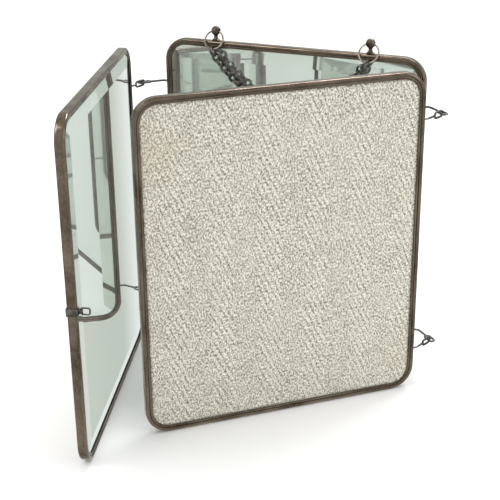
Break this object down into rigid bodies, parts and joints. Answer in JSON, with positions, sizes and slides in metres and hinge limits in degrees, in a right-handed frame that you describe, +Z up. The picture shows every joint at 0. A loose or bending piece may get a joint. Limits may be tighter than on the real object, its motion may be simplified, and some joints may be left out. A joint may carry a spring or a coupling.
{
  "type": "folding triptych mirror",
  "caption": "Folding triptych mirror: bevelled glass panels in rolled metal frames, joined by linked wire eyes, with a hanging chain and cloth-covered backs.",
  "frame": {"origin": "on the standing surface, under the middle of the centre panel's bottom rail", "axes": "+Z up; -Y is the way the centre mirror faces; +X to the right as seen from in front of the centre mirror"},
  "size_m": [0.2551, 0.2412, 0.2614],
  "materials": {
    "aged_nickel": "worn nickel plate with brown patina",
    "plain_steel": "plain",
    "cardboard_strip": "matte",
    "mirror_glass": "silvered bevelled glass",
    "brown_paper": "matte",
    "backing_board": "matte",
    "herringbone_cloth": "cream herringbone weave",
    "dark_wire": "dark oxidised",
    "aged_finial": "dark aged nickel",
    "ring_wire": "dark aged nickel",
    "dark_chain": "dark with bright worn edges",
    "catch_steel": "dark oxidised"
  },
  "bodies": {
    "centre_panel": {"centre_back_cloth": "herringbone_cloth", "centre_backing_board": "backing_board", "centre_frame": "aged_nickel", "centre_joiner_plate": "plain_steel", "centre_left_lower_eye": "dark_wire", "centre_left_upper_eye": "dark_wire", "centre_mirror_glass": "mirror_glass", "centre_packing_paper": "brown_paper", "centre_packing_strips": "cardboard_strip", "centre_right_lower_eye": "dark_wire", "centre_right_upper_eye": "dark_wire", "left_finial": "aged_finial", "left_finial_nut": "plain_steel", "right_finial": "aged_finial", "right_finial_nut": "plain_steel"},
    "left_wing": {"catch_band": "catch_steel", "left_back_cloth": "herringbone_cloth", "left_backing_board": "backing_board", "left_frame": "aged_nickel", "left_joiner_plate": "plain_steel", "left_mirror_glass": "mirror_glass", "left_packing_paper": "brown_paper", "left_packing_strips": "cardboard_strip", "left_wing_lower_eye": "dark_wire", "left_wing_upper_eye": "dark_wire"},
    "right_wing": {"right_back_cloth": "herringbone_cloth", "right_backing_board": "backing_board", "right_frame": "aged_nickel", "right_joiner_plate": "plain_steel", "right_mirror_glass": "mirror_glass", "right_packing_paper": "brown_paper", "right_packing_strips": "cardboard_strip", "right_wing_lower_eye": "dark_wire", "right_wing_upper_eye": "dark_wire"},
    "hanging_chain": {"chain": "dark_chain", "left_ring": "ring_wire", "right_ring": "ring_wire"},
    "catch_bail": {"catch_bail": "catch_steel"}
  },
  "joints": [
    {"name": "left_wing_hinge", "type": "hinge", "parent": "centre_panel", "child": "left_wing", "pos_m": [-0.1225, -0.0115, 0.1225], "axis": [0, 0, -1], "range_deg": [-7, 198]},
    {"name": "right_wing_hinge", "type": "hinge", "parent": "centre_panel", "child": "right_wing", "pos_m": [0.1225, -0.0115, 0.1225], "axis": [0, 0, 1], "range_deg": [-43, 227]},
    {"name": "chain_swing", "type": "hinge", "parent": "centre_panel", "child": "hanging_chain", "pos_m": [0, 0, 0.2577], "axis": [-1, 0, 0], "range_deg": [0, 180]},
    {"name": "catch_turn", "type": "hinge", "parent": "left_wing", "child": "catch_bail", "pos_m": [-0.05499, -0.23109, 0.12], "axis": [0, 0, 1], "range_deg": [-90, 90]}
  ]
}
